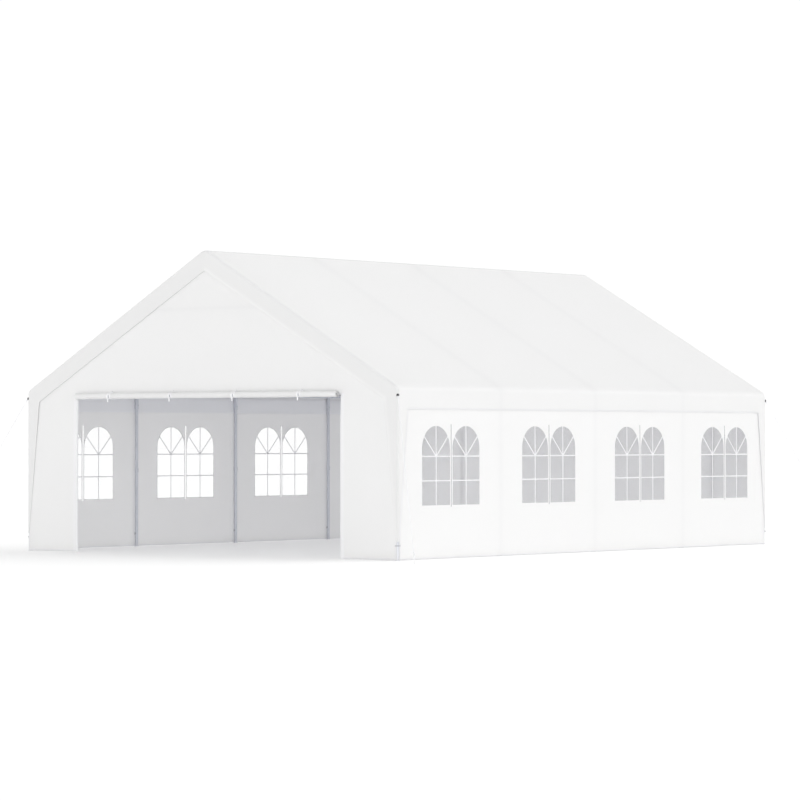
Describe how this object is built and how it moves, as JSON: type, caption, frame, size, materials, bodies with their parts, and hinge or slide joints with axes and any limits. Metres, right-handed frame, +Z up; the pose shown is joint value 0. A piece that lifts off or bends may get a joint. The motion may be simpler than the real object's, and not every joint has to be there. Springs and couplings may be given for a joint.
{
  "type": "marquee tent",
  "caption": "Marquee tent: gabled fabric roof cover with valances, side walls with arched windows, rolled-up front door, steel tube frame, guy ropes and pegs.",
  "frame": {"origin": "on the ground, at the middle of the footprint", "axes": "+Z up; -Y out of the front gable, where the doorway is; +X across the span, to the right as one looks in at the doorway"},
  "size_m": [7.5776, 9.3922, 3.7],
  "materials": {
    "cover_fabric": "white coated woven polyethylene, slightly glossy",
    "wall_fabric": "white coated woven polyethylene",
    "door_fabric": "white coated woven polyethylene",
    "clear_film": "clear soft plastic film",
    "frame_steel": "light grey powder-coated steel tube",
    "rope": "white twisted rope with a black stopper",
    "peg_steel": "zinc-plated steel"
  },
  "bodies": {
    "root": {"roof_cover": "cover_fabric", "front_gable_wall": "wall_fabric", "rear_gable_wall": "wall_fabric", "left_wall": "wall_fabric", "right_wall": "wall_fabric", "front_door_roll": "door_fabric", "rear_door_panel": "door_fabric", "window_film_left_1": "clear_film", "window_film_left_2": "clear_film", "window_film_left_3": "clear_film", "window_film_left_4": "clear_film", "window_film_right_1": "clear_film", "window_film_right_2": "clear_film", "window_film_right_3": "clear_film", "window_film_right_4": "clear_film", "roof_truss_1": "frame_steel", "roof_truss_2": "frame_steel", "roof_truss_3": "frame_steel", "roof_truss_4": "frame_steel", "roof_truss_5": "frame_steel", "left_post_1": "frame_steel", "left_post_2": "frame_steel", "left_post_3": "frame_steel", "left_post_4": "frame_steel", "left_post_5": "frame_steel", "right_post_1": "frame_steel", "right_post_2": "frame_steel", "right_post_3": "frame_steel", "right_post_4": "frame_steel", "right_post_5": "frame_steel", "ridge_tube_1": "frame_steel", "ridge_tube_2": "frame_steel", "ridge_tube_3": "frame_steel", "ridge_tube_4": "frame_steel", "left_eave_tube_1": "frame_steel", "left_eave_tube_2": "frame_steel", "left_eave_tube_3": "frame_steel", "left_eave_tube_4": "frame_steel", "right_eave_tube_1": "frame_steel", "right_eave_tube_2": "frame_steel", "right_eave_tube_3": "frame_steel", "right_eave_tube_4": "frame_steel", "guy_rope_front_left": "rope", "guy_rope_front_right": "rope", "guy_rope_rear_left": "rope", "guy_rope_rear_right": "rope", "tent_peg_front_left": "peg_steel", "tent_peg_front_right": "peg_steel", "tent_peg_rear_left": "peg_steel", "tent_peg_rear_right": "peg_steel"}
  },
  "joints": []
}
